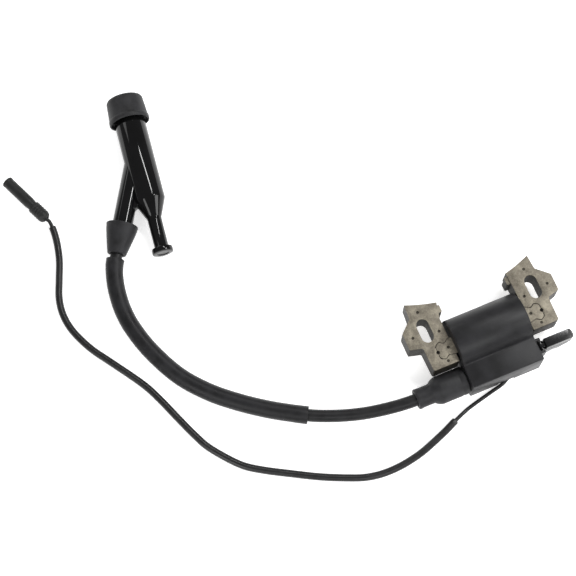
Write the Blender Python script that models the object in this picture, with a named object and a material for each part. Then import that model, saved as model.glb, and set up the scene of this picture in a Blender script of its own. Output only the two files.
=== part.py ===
"""Flywheel ignition coil for a small engine, with its plug lead, plug cap and stop wire.

Frame: +X runs along the laminated core from the lead boot to the wire clip, +Y points at the
flywheel, +Z is up. The floor is z = 0. Sizes below are in millimetres and the model is in metres.
"""
import math

import bmesh
import bpy
from mathutils import Matrix, Vector

MM = 0.001
GAP = 0.3                       # clearance between pieces that touch

# Case: the lead and the stop wire leave it at its left end and front face, which stay in place
CASE_LEFT_X = -21.5
CASE_FRONT_Y = -28.45
CASE_LENGTH = 43.0
CASE_WALL = 1.8
CASE_TOP_Z = 19.0               # flat top of the square housing
DRUM_RADIUS = 14.5              # half-round back of the case
HOUSING_DEPTH = 13.7            # front face to the start of the half-round back
CASE_EDGE = 0.8
WIRE_NOTCH = (10.0, 3.2)        # width and height of the gap for the stop wire under the front wall

# Laminated core, centred on the case in X
STACK = 13.0
BAR_WIDTH = 9.4
BAR_FROM_DRUM = -1.3            # bar centre, measured in Y from the drum axis
BOLT_SPACING = 66.0
BOLT_FROM_BAR = 13.5
SLOT_WIDTH = 7.0
SLOT_LENGTH = 14.0
POLE_FROM_CASE = 1.1            # inner edge of a pole to the end of the case
TIP_OVERHANG = {-1: 2.2, 1: 0.5}    # how far the left and the right tip reach in over the case
TIP_OUT = 4.7                   # distances in X outwards from the bolt slots
EAR_OUT = 12.4
FOOT_OUT = 4.9
POLE_TIP_Y = 18.0               # distances in Y from the bolt slots
EAR_TOP_Y = 3.0
EAR_LOW_Y = -7.0
FOOT_Y = -22.9
FLYWHEEL_RADIUS = 98.0
LOBE_LENGTH = 8.9               # jigsaw lobe from a pole's inner edge
LOBE_NECK = 3.3
LOBE_HEAD = 5.1
LOBE_SHIFT = -0.6               # middle of the lobes, measured in Y from the bar's
SEAM_HOLE_RADIUS = 1.0          # round hole on the seam at the end of each lobe
TIP_BOSS_PROUD = {-1: 0.9, 1: 1.8}  # how far the boss on the left and the right tip stands out
TIP_BOSS_LENGTH = 4.5           # in Y
TIP_BOSS_Y = 8.8                # from the bolt slots
TIP_BOSS_INSET = 0.8            # from the stack's top and underside
DIMPLE_RADIUS = 0.85
DIMPLE_DEPTH = 0.5

# Windings round the bar: thickness of each layer from the inside out
PRIMARY_BOBBIN = 0.7
PRIMARY_WIRE = 0.9
SECONDARY_BOBBIN = 0.7
SECONDARY_WIRE = 1.3
BOBBIN_FLANGE = 0.9
SECONDARY_LENGTH = 35.0
SECTIONS = 4
SECONDARY_ROUNDING = 1.67       # growth of the corner radius with depth

# Potting and electronics
POTTING_LOW = 1.2
POTTING_THICK = 1.7
BOARD = (24.0, 12.0, 1.2)
BOARD_Z = 7.0
TRANSISTOR = (6.5, 5.0, 3.0)
CAPACITOR = (7.0, 4.0, 5.0)
RESISTOR = (4.0, 1.5)           # length and radius

# Plug lead
LEAD_RADIUS = 3.5
LEAD_STEP = 14.0                # spacing of the lead's points
LEAD_AXIS_Z = 8.4
LEAD_FROM_FRONT = 8.45
LEAD_SLEEVE_PLAY = 0.4          # gap between the lead and its sleeve
LEAD_SLEEVE_WALL = 1.2
LEAD_SLEEVE_RADIUS = LEAD_RADIUS + LEAD_SLEEVE_PLAY + LEAD_SLEEVE_WALL
LEAD_REST_Z = LEAD_SLEEVE_RADIUS + 0.1
LEAD_SLEEVE_SPAN = (84.0, 241.0)    # along the lead from its start
COIL_BOOT_RADIUS = 8.0
COIL_BOOT_NOSE = 5.8
COIL_BOOT_LENGTH = 29.7

# Route of the lead's centre, from the coil to the plug cap
LEAD_ROUTE = [
    (-25.0, -20.0, 8.4), (-38.0, -20.0, 8.4), (-51.5, -20.0, 8.4), (-60.5, -19.2, 7.5),
    (-70.0, -17.6, 6.3), (-80.0, -15.4, 5.5), (-90.0, -12.4, LEAD_REST_Z), (-99.5, -8.8, LEAD_REST_Z),
    (-108.6, -4.6, LEAD_REST_Z), (-118.5, 1.2, LEAD_REST_Z), (-129.0, 7.9, LEAD_REST_Z),
    (-142.3, 17.9, LEAD_REST_Z), (-155.3, 29.8, LEAD_REST_Z), (-167.0, 44.8, LEAD_REST_Z),
    (-176.0, 64.0, LEAD_REST_Z), (-180.6, 80.5, 5.3), (-181.8, 91.6, 6.0), (-181.2, 101.6, 7.0),
    (-179.4, 110.6, 7.9), (-176.5, 118.5, 8.4), (-173.3, 123.6, 8.6), (-164.0, 138.44, 9.27),
    (-154.2, 154.1, 9.98),
]

# Plug cap, placed by the small end of its lead boot
CAP_ANCHOR = (-173.3, 123.6, 8.6)
CAP_ARM_HEADING = 58.0          # degrees from +X, seen from above
CAP_FORK = 24.0                 # degrees between arm and barrel
CAP_ARM_LENGTH = 63.4           # anchor to the crossing of the two axes
CAP_ARM_RADIUS = 5.8
CAP_NOSE = 32.3                 # crossing of the axes to the mouth
BARREL_RADIUS = 9.0
BARREL_BORE = 6.3
BARREL_SHOULDER = 63.8          # distances from the mouth along the barrel
BARREL_NECK = 74.3
STEM_RADIUS = 4.1
STEM_END = 96.3
KNOB_RADIUS = 6.1
KNOB_THICK = 3.2
BORE_DEPTH = 34.0
CLIP_BORE = 5.0
CLIP_BORE_DEPTH = 43.5
SPRING_BORE = 3.2
RESISTOR_END = 72.0
MOUTH_BOOT_RADIUS = 11.8
MOUTH_BOOT_LENGTH = 14.5
MOUTH_OPENING = 6.0
CONE_WIDE = 9.2
CONE_NARROW = 5.5
CONE_LENGTH = 17.5
LEAD_IN_CAP = 36.0              # lead past the anchor
SCREW_RADIUS = 1.3
SCREW_LENGTH = 12.5

# Stop wire
WIRE_RADIUS = 1.1
WIRE_STEP = 6.6                 # spacing of the stop wire's points
WIRE_SLEEVE_PLAY = 0.35         # gap between the stop wire and its sleeve
WIRE_SLEEVE_WALL = 0.6
WIRE_SLEEVE_RADIUS = WIRE_RADIUS + WIRE_SLEEVE_PLAY + WIRE_SLEEVE_WALL
WIRE_REST_Z = WIRE_SLEEVE_RADIUS + 0.1
WIRE_SLEEVE_SPAN = (51.0, 369.5)
WIRE_ROUTE = [
    (12.0, -20.0, 5.2), (9.0, -22.7, 4.0), (5.5, -25.2, 2.4), (1.5, -27.4, 1.35), (-2.8, -29.3, 1.25),
    (-8.0, -30.4, 1.25), (-13.0, -31.5, 1.25), (-24.5, -34.2, 1.5), (-31.0, -36.4, 1.9),
    (-37.0, -38.8, WIRE_REST_Z), (-43.6, -41.6, WIRE_REST_Z), (-57.2, -46.4, WIRE_REST_Z),
    (-65.5, -48.4, WIRE_REST_Z), (-74.5, -49.6, WIRE_REST_Z), (-83.9, -49.6, WIRE_REST_Z),
    (-92.3, -48.2, WIRE_REST_Z), (-100.3, -45.4, WIRE_REST_Z), (-115.5, -38.4, WIRE_REST_Z),
    (-130.3, -30.2, WIRE_REST_Z), (-144.9, -21.6, WIRE_REST_Z), (-154.8, -14.0, WIRE_REST_Z),
    (-166.2, 0.4, WIRE_REST_Z), (-171.3, 10.7, WIRE_REST_Z), (-176.0, 22.5, WIRE_REST_Z),
    (-181.7, 37.4, WIRE_REST_Z), (-187.3, 49.2, WIRE_REST_Z), (-199.4, 68.2, WIRE_REST_Z),
    (-205.1, 76.9, WIRE_REST_Z), (-209.5, 85.6, WIRE_REST_Z), (-212.8, 95.0, WIRE_REST_Z),
    (-213.9, 104.6, WIRE_REST_Z), (-212.5, 114.2, WIRE_REST_Z), (-208.6, 124.6, WIRE_REST_Z),
    (-204.8, 134.4, WIRE_REST_Z), (-202.6, 143.0, WIRE_REST_Z), (-201.4, 151.0, 2.5),
    (-201.4, 158.4, 3.4), (-202.6, 161.2, 3.85), (-204.9, 166.7, 3.9),
]

# Bullet connector, placed by the wire end of its collar
CONNECTOR_ANCHOR = (-202.6, 161.2, 3.9)
CONNECTOR_HEADING = 113.0
COLLAR_RADIUS = 3.75
COLLAR_LENGTH = 11.0
SOCKET_RADIUS = 3.3
SOCKET_LENGTH = 22.0
SOCKET_WAIST = 2.7
RECEPTACLE_RADIUS = 2.3
RECEPTACLE_BORE = 1.9

# Wire clip at the right end of the case
CLIP_WIDTH = 5.4
CLIP_FROM_FRONT = 8.35          # clip centre, measured in Y from the front face
CLIP_PAD = 0.5                  # boss on the case behind the clip
CLIP_LUG = (3.3, 1.5, 8.0, 16.0)    # lugs beside the hinge: reach, thickness, low and high Z
CLIP_PIN_X = 2.6                # pin axis from the case's right end
CLIP_PIN_Z = 13.5
CLIP_PIN_RADIUS = 0.6
CLIP_KNUCKLE = 1.6
CLIP_TONGUE = 2.2
CLIP_REACH = 21.7               # tip of the clip from the case's right end
CLIP_TOP_Z = 17.0
CLIP_SPLIT_Z = 12.0

# Worked out from the sizes above
CASE_RIGHT_X = CASE_LEFT_X + CASE_LENGTH
MID_X = CASE_LEFT_X + CASE_LENGTH / 2
POLE_INNER = CASE_LENGTH / 2 + POLE_FROM_CASE       # distances from the core's middle plane
POLE_TIP_OUTER = BOLT_SPACING / 2 + TIP_OUT
EAR_OUTER = BOLT_SPACING / 2 + EAR_OUT
FOOT_OUTER = BOLT_SPACING / 2 + FOOT_OUT
LOBE_REACH = POLE_INNER + LOBE_LENGTH
DRUM_Z = DRUM_RADIUS
SHOULDER_Z = CASE_TOP_Z - DRUM_Z
DRUM_Y = CASE_FRONT_Y + HOUSING_DEPTH + math.sqrt(DRUM_RADIUS ** 2 - SHOULDER_Z ** 2)
BAR_Y = DRUM_Y + BAR_FROM_DRUM
BOLT_Y = BAR_Y + BOLT_FROM_BAR
STACK_LOW = DRUM_Z - STACK / 2
STACK_TOP = DRUM_Z + STACK / 2
LEAD_Y = CASE_FRONT_Y + LEAD_FROM_FRONT
CLIP_Y = CASE_FRONT_Y + CLIP_FROM_FRONT
LEAD_BORE = LEAD_RADIUS + 0.35


def material(name, colour, metallic, roughness):
    made = bpy.data.materials.new(name)
    made.use_nodes = True
    shader = made.node_tree.nodes["Principled BSDF"]
    shader.inputs["Base Color"].default_value = (*colour, 1.0)
    shader.inputs["Metallic"].default_value = metallic
    shader.inputs["Roughness"].default_value = roughness
    return made


def add_object(name, mesh, coat, parent=None):
    body = bpy.data.objects.new(name, mesh)
    bpy.context.scene.collection.objects.link(body)
    body.parent = parent
    if coat:
        mesh.materials.append(material(name, *coat))
    return body


def finish_mesh(name, bm):
    bmesh.ops.remove_doubles(bm, verts=bm.verts, dist=0.000001)
    bmesh.ops.dissolve_degenerate(bm, edges=bm.edges, dist=0.000001)
    bmesh.ops.recalc_face_normals(bm, faces=bm.faces)
    mesh = bpy.data.meshes.new(name)
    bm.to_mesh(mesh)
    bm.free()
    mesh.shade_smooth()
    mesh.set_sharp_from_angle(angle=math.radians(35))
    return mesh


def arc(centre, radius, start, end, steps):
    """Points on an arc, from start to end in degrees, both ends included."""
    angles = [math.radians(start + (end - start) * i / steps) for i in range(steps + 1)]
    return [(centre[0] + radius * math.cos(a), centre[1] + radius * math.sin(a)) for a in angles]


def rounded(corners, steps=3):
    """Outline through corners (x, y) or (x, y, radius), with each radius turned as an arc."""
    outline = []
    for i, corner in enumerate(corners):
        here = Vector(corner[:2])
        radius = corner[2] if len(corner) > 2 else 0
        if radius == 0:
            outline.append(tuple(here))
            continue
        before = (Vector(corners[i - 1][:2]) - here).normalized()
        after = (Vector(corners[(i + 1) % len(corners)][:2]) - here).normalized()
        half = before.angle(after) / 2
        middle = here + (before + after).normalized() * radius / math.sin(half)
        first = here + before * radius / math.tan(half) - middle
        last = here + after * radius / math.tan(half) - middle
        turn = first.angle_signed(last)
        for k in range(steps + 1):
            angle = -turn * k / steps
            swept = Matrix.Rotation(angle, 2) @ first
            outline.append(tuple(middle + swept))
    return outline


def prism(name, outline, low, high, coat=None, axis="Z", parent=None):
    """Extrude an outline. It is (x, y) for axis Z, (y, z) for axis X and (x, z) for axis Y."""
    spread = {"Z": lambda a, b, c: (a, b, c), "X": lambda a, b, c: (c, a, b), "Y": lambda a, b, c: (a, c, b)}
    bm = bmesh.new()
    ring = [bm.verts.new(Vector(spread[axis](a, b, low)) * MM) for a, b in outline]
    face = bm.faces.new(ring)
    lifted = bmesh.ops.extrude_face_region(bm, geom=[face])
    moved = [item for item in lifted["geom"] if isinstance(item, bmesh.types.BMVert)]
    bmesh.ops.translate(bm, verts=moved, vec=Vector(spread[axis](0, 0, high - low)) * MM)
    return add_object(name, finish_mesh(name, bm), coat, parent)


def turned(name, profile, origin, direction, coat=None, steps=24, closed=False, parent=None):
    """Spin a profile of (radius, distance along the axis) about an axis."""
    bm = bmesh.new()
    points = [bm.verts.new(Vector((radius, 0, along)) * MM) for radius, along in profile]
    edges = [bm.edges.new(pair) for pair in zip(points, points[1:])]
    if closed:
        edges.append(bm.edges.new((points[-1], points[0])))
    bmesh.ops.spin(bm, geom=points + edges, cent=(0, 0, 0), axis=(0, 0, 1), angle=2 * math.pi,
                   steps=steps, use_merge=True)
    body = add_object(name, finish_mesh(name, bm), coat, parent)
    body.location = Vector(origin) * MM
    body.rotation_euler = Vector(direction).to_track_quat("Z", "Y").to_euler()
    return body


def layered_tube(name, stations, coat):
    """Join rounded rectangles round the bar, (x, half width, half height, corner), into a ring solid."""
    bm = bmesh.new()
    rings = []
    for x, wide, high, corner in stations:
        box = [(-wide, -high, corner), (wide, -high, corner), (wide, high, corner), (-wide, high, corner)]
        rings.append([bm.verts.new(Vector((x, BAR_Y + y, DRUM_Z + z)) * MM) for y, z in rounded(box, 5)])
    for ring, following in zip(rings, rings[1:] + rings[:1]):
        count = len(ring)
        for i in range(count):
            j = (i + 1) % count
            bm.faces.new((ring[i], ring[j], following[j], following[i]))
    return add_object(name, finish_mesh(name, bm), coat)


def combine(body, tool, operation="DIFFERENCE"):
    tool.hide_render = True
    tool.display_type = "WIRE"
    step = body.modifiers.new(operation.title(), "BOOLEAN")
    step.operation = operation
    step.solver = "EXACT"
    step.object = tool


def curve_point(points, i, t):
    """Catmull-Rom point between points i and i + 1."""
    before = points[max(i - 1, 0)]
    start, end = points[i], points[i + 1]
    after = points[min(i + 2, len(points) - 1)]
    return 0.5 * (2 * start + (end - before) * t + (2 * before - 5 * start + 4 * end - after) * t ** 2
                  + (3 * start - before - 3 * end + after) * t ** 3)


def smooth_route(route, spacing):
    """Evenly spaced points on a smooth curve through the route."""
    points = [Vector(p) for p in route]
    fine = [curve_point(points, i, k / 40) for i in range(len(points) - 1) for k in range(40)]
    fine.append(points[-1])
    lengths = [0.0]
    for a, b in zip(fine, fine[1:]):
        lengths.append(lengths[-1] + (b - a).length)
    count = round(lengths[-1] / spacing)
    even = []
    reached = 0
    for k in range(count + 1):
        target = lengths[-1] * k / count
        while reached < len(lengths) - 2 and lengths[reached + 1] < target:
            reached += 1
        share = (target - lengths[reached]) / (lengths[reached + 1] - lengths[reached])
        even.append(fine[reached].lerp(fine[reached + 1], share))
    return even, lengths[-1] / count


def cord(name, points, radius, coat, sides=2, wall=None):
    """A round cord as a curve, or a sleeve where a wall is given."""
    curve = bpy.data.curves.new(name, "CURVE")
    curve.dimensions = "3D"
    curve.bevel_depth = radius * MM
    curve.bevel_resolution = sides
    curve.use_fill_caps = wall is None
    curve.materials.append(material(name, *coat))
    spline = curve.splines.new("POLY")
    spline.points.add(len(points) - 1)
    for slot, point in zip(spline.points, points):
        slot.co = (*(point * MM), 1)
    body = bpy.data.objects.new(name, curve)
    bpy.context.scene.collection.objects.link(body)
    if wall:
        shell = body.modifiers.new("Wall", "SOLIDIFY")
        shell.thickness = wall * MM
        shell.offset = -1
        shell.use_rim = True
    return body


def part_of_route(points, spacing, span):
    """The points of a route between two distances from its start."""
    return [p for i, p in enumerate(points) if span[0] <= i * spacing <= span[1]]


# Coats: colour, metallic, roughness
STEEL = ((0.27, 0.25, 0.20), 0.85, 0.45)
BLACK_NYLON = ((0.010, 0.010, 0.010), 0.0, 0.40)
CASE_PLASTIC = ((0.022, 0.022, 0.023), 0.0, 0.55)
RUBBER = ((0.020, 0.020, 0.020), 0.0, 0.65)
PHENOLIC = ((0.004, 0.004, 0.005), 0.0, 0.12)
PVC = ((0.025, 0.025, 0.025), 0.0, 0.35)
EPOXY = ((0.015, 0.012, 0.010), 0.0, 0.30)
COPPER = ((0.60, 0.25, 0.10), 1.0, 0.30)
BOBBIN_PLASTIC = ((0.55, 0.50, 0.40), 0.0, 0.50)
BOARD_GREEN = ((0.03, 0.15, 0.05), 0.0, 0.45)
BRASS = ((0.60, 0.42, 0.16), 1.0, 0.30)
TIN = ((0.60, 0.60, 0.58), 1.0, 0.30)
CERAMIC = ((0.55, 0.52, 0.45), 0.0, 0.40)


def bar_outline(extra=0.0):
    """Centre bar seen from above, with a jigsaw lobe at each end, grown by extra."""
    half = BAR_WIDTH / 2 + extra
    neck = LOBE_NECK + extra
    head = LOBE_HEAD + extra
    reach = LOBE_REACH + extra
    low, high = LOBE_SHIFT - head, LOBE_SHIFT + head
    neck_x = POLE_INNER + 4.0 - extra
    right = [(POLE_INNER + 0.6, -half, 1.0), (neck_x, LOBE_SHIFT - neck, 1.4), (LOBE_REACH - 2.6, low, 1.2),
             (reach, low + 1.6, 1.6), (reach, high - 1.6, 1.6), (LOBE_REACH - 2.6, high, 1.2),
             (neck_x, LOBE_SHIFT + neck, 1.4), (POLE_INNER + 0.6, half, 1.0)]
    left = [(-x, y, radius) for x, y, radius in right[::-1]]
    return [(MID_X + x, BAR_Y + y) for x, y in rounded(right + left)]


def pole_outline(side):
    """Pole piece seen from above; side is 1 for the right one and -1 for the left one."""
    drop = math.sqrt(FLYWHEEL_RADIUS ** 2 - POLE_TIP_OUTER ** 2)
    middle_y = POLE_TIP_Y + drop
    tip_inner = POLE_INNER - TIP_OVERHANG[side]
    face = []
    for i in range(9):
        x = POLE_TIP_OUTER + (tip_inner - POLE_TIP_OUTER) * i / 8
        face.append((x, middle_y - math.sqrt(FLYWHEEL_RADIUS ** 2 - x ** 2)))
    waist = (POLE_TIP_OUTER + 0.6, POLE_TIP_Y - 8.6, 1.5)
    ear = [waist, (EAR_OUTER, EAR_TOP_Y, 1.2), (EAR_OUTER, EAR_LOW_Y, 0.8),
           (FOOT_OUTER + 0.3, EAR_LOW_Y - 1.9, 1.0), (FOOT_OUTER, FOOT_Y, 1.2)]
    inner = [(POLE_INNER, FOOT_Y), (POLE_INNER, EAR_TOP_Y, 2.0)]
    corners = face + inner[::-1] + ear[::-1]
    return [(MID_X + side * x, BOLT_Y + y) for x, y in rounded(corners)]


def slot_outline(centre_x, centre_y, width, length):
    straight = (length - width) / 2
    top = arc((centre_x, centre_y + straight), width / 2, 0, 180, 10)
    low = arc((centre_x, centre_y - straight), width / 2, 180, 360, 10)
    return top + low


def boss_outline(side):
    """Rounded boss on the inner edge of a pole's tip."""
    edge = POLE_INNER - TIP_OVERHANG[side]
    inner = edge - TIP_BOSS_PROUD[side]
    low, high = TIP_BOSS_Y - TIP_BOSS_LENGTH / 2, TIP_BOSS_Y + TIP_BOSS_LENGTH / 2
    corners = [(inner, low, 0.8), (inner, high, 0.8), (edge + 2, high), (edge + 2, low)]
    return [(MID_X + side * x, BOLT_Y + y) for x, y in rounded(corners)]


def make_core():
    bar = prism("core_bar", bar_outline(), STACK_LOW, STACK_TOP, STEEL)
    floor = STACK_TOP - DIMPLE_DEPTH
    through = [(0, -1), (SEAM_HOLE_RADIUS, -1), (SEAM_HOLE_RADIUS, STACK + 1), (0, STACK + 1)]
    for side, name in ((-1, "core_pole_left"), (1, "core_pole_right")):
        pole = prism(name, pole_outline(side), STACK_LOW, STACK_TOP, STEEL)
        boss = prism(name + "_boss", boss_outline(side), STACK_LOW + TIP_BOSS_INSET, STACK_TOP - TIP_BOSS_INSET)
        combine(pole, boss, "UNION")
        combine(pole, prism(name + "_lobe_cut", bar_outline(GAP), STACK_LOW - 1, STACK_TOP + 1))
        spot = (MID_X + side * LOBE_REACH, BAR_Y + LOBE_SHIFT, STACK_LOW)
        for piece in (pole, bar):
            combine(piece, turned(f"{piece.name}_seam_hole_{side}", through, spot, (0, 0, 1), steps=16))
        slot = slot_outline(MID_X + side * BOLT_SPACING / 2, BOLT_Y, SLOT_WIDTH, SLOT_LENGTH)
        combine(pole, prism(name + "_slot_cut", slot, STACK_LOW - 1, STACK_TOP + 1))
        marks = [(BOLT_SPACING / 2 - 0.5, 11.3), (EAR_OUTER - 4.4, -1.3), (POLE_INNER + 3.4, -3.2),
                 (POLE_INNER + 5.7, FOOT_Y + 2.4)]
        for number, (x, y) in enumerate(marks):
            spot = (MID_X + side * x, BOLT_Y + y, floor)
            profile = [(0, 0), (DIMPLE_RADIUS, 0), (DIMPLE_RADIUS, 2), (0, 2)]
            combine(pole, turned(f"{name}_dimple_{number}", profile, spot, (0, 0, 1), steps=10))
        spot = (MID_X + side * (POLE_INNER + 2.4), BAR_Y, floor)
        profile = [(0, 0), (DIMPLE_RADIUS, 0), (DIMPLE_RADIUS, 2), (0, 2)]
        combine(bar, turned(f"core_bar_dimple_{side}", profile, spot, (0, 0, 1), steps=10))


def case_section(wall, low):
    """Case seen from its end, (y, z), set in by a wall."""
    radius = DRUM_RADIUS - wall
    top = CASE_TOP_Z - wall
    start = 180 - math.degrees(math.asin((top - DRUM_Z) / radius))
    back = arc((DRUM_Y, DRUM_Z), radius, start, 0, 18)
    front = CASE_FRONT_Y + wall
    return [(front, low), (front, top)] + back + [(DRUM_Y + radius, low)]


def make_case():
    case = prism("coil_case", case_section(0, 0), CASE_LEFT_X, CASE_RIGHT_X, CASE_PLASTIC, axis="X")
    edge = case.modifiers.new("Edges", "BEVEL")
    edge.width = CASE_EDGE * MM
    edge.segments = 2
    edge.limit_method = "ANGLE"
    edge.angle_limit = math.radians(40)
    pad = rounded([(CASE_RIGHT_X - 1, 4.0), (CASE_RIGHT_X + CLIP_PAD, 4.0), (CASE_RIGHT_X + CLIP_PAD, 14.5),
                   (CASE_RIGHT_X - 1, 14.5)])
    combine(case, prism("case_clip_pad", pad, CLIP_Y - 4.4, CLIP_Y + 4.4, axis="Y"), "UNION")
    reach, thick, low, high = CLIP_LUG
    lug = rounded([(CASE_RIGHT_X - 1, low), (CASE_RIGHT_X + reach, low, 1.0), (CASE_RIGHT_X + reach, high, 0.8),
                   (CASE_RIGHT_X - 1, high)])
    beside = CLIP_WIDTH / 2 + GAP
    for number, start in enumerate((CLIP_Y - beside - thick, CLIP_Y + beside)):
        combine(case, prism(f"case_clip_lug_{number}", lug, start, start + thick, axis="Y"), "UNION")
    hollow = case_section(CASE_WALL, -1)
    combine(case, prism("case_hollow", hollow, CASE_LEFT_X + CASE_WALL, CASE_RIGHT_X - CASE_WALL, axis="X"))
    half = BAR_WIDTH / 2 + GAP
    window = [(BAR_Y - half, STACK_LOW - GAP), (BAR_Y + half, STACK_LOW - GAP),
              (BAR_Y + half, STACK_TOP + GAP), (BAR_Y - half, STACK_TOP + GAP)]
    combine(case, prism("case_bar_window", window, CASE_LEFT_X - 1, CASE_RIGHT_X + 1, axis="X"))
    hole = [(0, -2), (LEAD_BORE, -2), (LEAD_BORE, CASE_WALL + 2), (0, CASE_WALL + 2)]
    combine(case, turned("case_lead_hole", hole, (CASE_LEFT_X, LEAD_Y, LEAD_AXIS_Z), (1, 0, 0)))
    wide, high = WIRE_NOTCH
    middle = WIRE_ROUTE[3][0] - 1
    relief = [(middle - wide / 2, -1), (middle + wide / 2, -1), (middle + wide / 2, high), (middle - wide / 2, high)]
    combine(case, prism("case_wire_relief", relief, CASE_FRONT_Y - 1, CASE_FRONT_Y + CASE_WALL + 0.5, axis="Y"))
    notch = [(BOLT_Y - 22.6, -1), (BOLT_Y - 17.4, -1), (BOLT_Y - 17.4, 1.2), (BOLT_Y - 22.6, 1.2)]
    combine(case, prism("case_strap_notch", notch, CASE_RIGHT_X - 3, CASE_RIGHT_X + 1, axis="X"))


def make_potting():
    set_in = CASE_WALL + GAP
    low_y = CASE_FRONT_Y + set_in
    high_y = DRUM_Y + DRUM_RADIUS - set_in
    left, right = CASE_LEFT_X + set_in, CASE_RIGHT_X - set_in
    wire_x = WIRE_ROUTE[0][0]
    outline = [(left, low_y), (wire_x - 14, low_y), (wire_x - 14, low_y + 2.5), (wire_x - 4, low_y + 8.8),
               (wire_x + 3, low_y + 8.8), (wire_x + 3, low_y), (right, low_y), (right, high_y), (left, high_y)]
    prism("potting_compound", outline, POTTING_LOW, POTTING_LOW + POTTING_THICK, EPOXY)


def make_windings():
    """Four layers round the bar, each with a gap to the one inside it."""
    end = CASE_LENGTH / 2 - CASE_WALL - GAP
    width, height = BAR_WIDTH / 2 + GAP, STACK / 2 + GAP
    low, high = MID_X - end, MID_X + end
    inside = (width, height, 0.6)
    core = (width + PRIMARY_BOBBIN, height + PRIMARY_BOBBIN, 2.0)
    tall = (core[0] + PRIMARY_WIRE, core[1] + PRIMARY_WIRE, 3.8)
    bobbin = [(low, *inside), (high, *inside), (high, *tall), (high - BOBBIN_FLANGE, *tall),
              (high - BOBBIN_FLANGE, *core), (low + BOBBIN_FLANGE, *core), (low + BOBBIN_FLANGE, *tall),
              (low, *tall)]
    layered_tube("primary_bobbin", bobbin, BOBBIN_PLASTIC)
    width, height = core[0] + GAP, core[1] + GAP
    low, high = low + BOBBIN_FLANGE + GAP, high - BOBBIN_FLANGE - GAP
    inside = (width, height, 2.2)
    outside = (width + PRIMARY_WIRE, height + PRIMARY_WIRE, 4.0)
    layered_tube("primary_winding", [(low, *inside), (high, *inside), (high, *outside), (low, *outside)], COPPER)
    make_secondary(outside[0] + GAP, outside[1] + GAP)


def make_secondary(width, height):
    """Secondary bobbin with ribs between its sections, and the winding that steps over the ribs."""
    low, high = MID_X - SECONDARY_LENGTH / 2, MID_X + SECONDARY_LENGTH / 2
    pitch = SECONDARY_LENGTH / SECTIONS
    core = SECONDARY_BOBBIN
    rib = core + 0.6
    half_rib = 0.4
    flange = core + SECONDARY_WIRE + 0.4

    def level(depth):
        return width + depth, height + depth, 4.3 + SECONDARY_ROUNDING * depth

    bobbin = [(low, *level(0)), (high, *level(0)), (high, *level(flange)), (high - BOBBIN_FLANGE, *level(flange)),
              (high - BOBBIN_FLANGE, *level(core))]
    for number in range(SECTIONS - 1, 0, -1):
        x = low + pitch * number
        bobbin += [(x + half_rib, *level(core)), (x + half_rib, *level(rib)),
                   (x - half_rib, *level(rib)), (x - half_rib, *level(core))]
    bobbin += [(low + BOBBIN_FLANGE, *level(core)), (low + BOBBIN_FLANGE, *level(flange)), (low, *level(flange))]
    layered_tube("secondary_bobbin", bobbin, BOBBIN_PLASTIC)

    base = core + GAP
    over = rib + GAP
    top = core + GAP + SECONDARY_WIRE
    start, stop = low + BOBBIN_FLANGE + GAP, high - BOBBIN_FLANGE - GAP
    winding = [(start, *level(base))]
    for number in range(1, SECTIONS):
        x = low + pitch * number
        winding += [(x - half_rib - GAP, *level(base)), (x - half_rib - GAP, *level(over)),
                    (x + half_rib + GAP, *level(over)), (x + half_rib + GAP, *level(base))]
    winding += [(stop, *level(base)), (stop, *level(top)), (start, *level(top))]
    layered_tube("secondary_winding", winding, COPPER)


def block(name, centre, size, coat):
    """A moulded block with its upright edges rounded, standing on centre."""
    x, y, z = centre
    wide, deep, high = size
    outline = rounded([(x - wide / 2, y - deep / 2, 0.4), (x + wide / 2, y - deep / 2, 0.4),
                       (x + wide / 2, y + deep / 2, 0.4), (x - wide / 2, y + deep / 2, 0.4)], 2)
    return prism(name, outline, z, z + high, coat)


def make_electronics():
    middle_y = CASE_FRONT_Y + CASE_WALL + 1.0 + BOARD[1] / 2
    middle_x = CASE_RIGHT_X - CASE_WALL - 1.5 - BOARD[0] / 2
    block("trigger_board", (middle_x, middle_y, BOARD_Z), BOARD, BOARD_GREEN)
    deck = BOARD_Z + BOARD[2] + GAP
    block("power_transistor", (middle_x - 7.5, middle_y, deck), TRANSISTOR, BLACK_NYLON)
    block("timing_capacitor", (middle_x + 1.5, middle_y, deck), CAPACITOR, BRASS)
    length, radius = RESISTOR
    profile = [(0, 0), (radius, 0), (radius, length), (0, length)]
    turned("pickup_resistor", profile, (middle_x + 8.0, middle_y - length / 2, deck + radius), (0, 1, 0),
           CERAMIC, steps=12)
    spike = [(0, 0), (0.8, 1.6), (0.8, 8), (2.6, 8), (2.6, 9), (0.8, 9), (0.8, 12), (0, 12)]
    turned("high_tension_terminal", spike, (LEAD_ROUTE[0][0] + GAP, LEAD_Y, LEAD_AXIS_Z), (1, 0, 0), BRASS,
           steps=12)
    strap_y = BOLT_Y - 20
    outer = CASE_RIGHT_X + 0.9
    strap = [(outer - 12, 0.3), (outer, 0.3), (outer, STACK_LOW - GAP - 0.6), (outer + 9, STACK_LOW - GAP - 0.6),
             (outer + 9, STACK_LOW - GAP), (outer - 0.6, STACK_LOW - GAP), (outer - 0.6, 0.9), (outer - 12, 0.9)]
    prism("ground_strap", strap, strap_y - 2, strap_y + 2, TIN, axis="Y")


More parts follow.
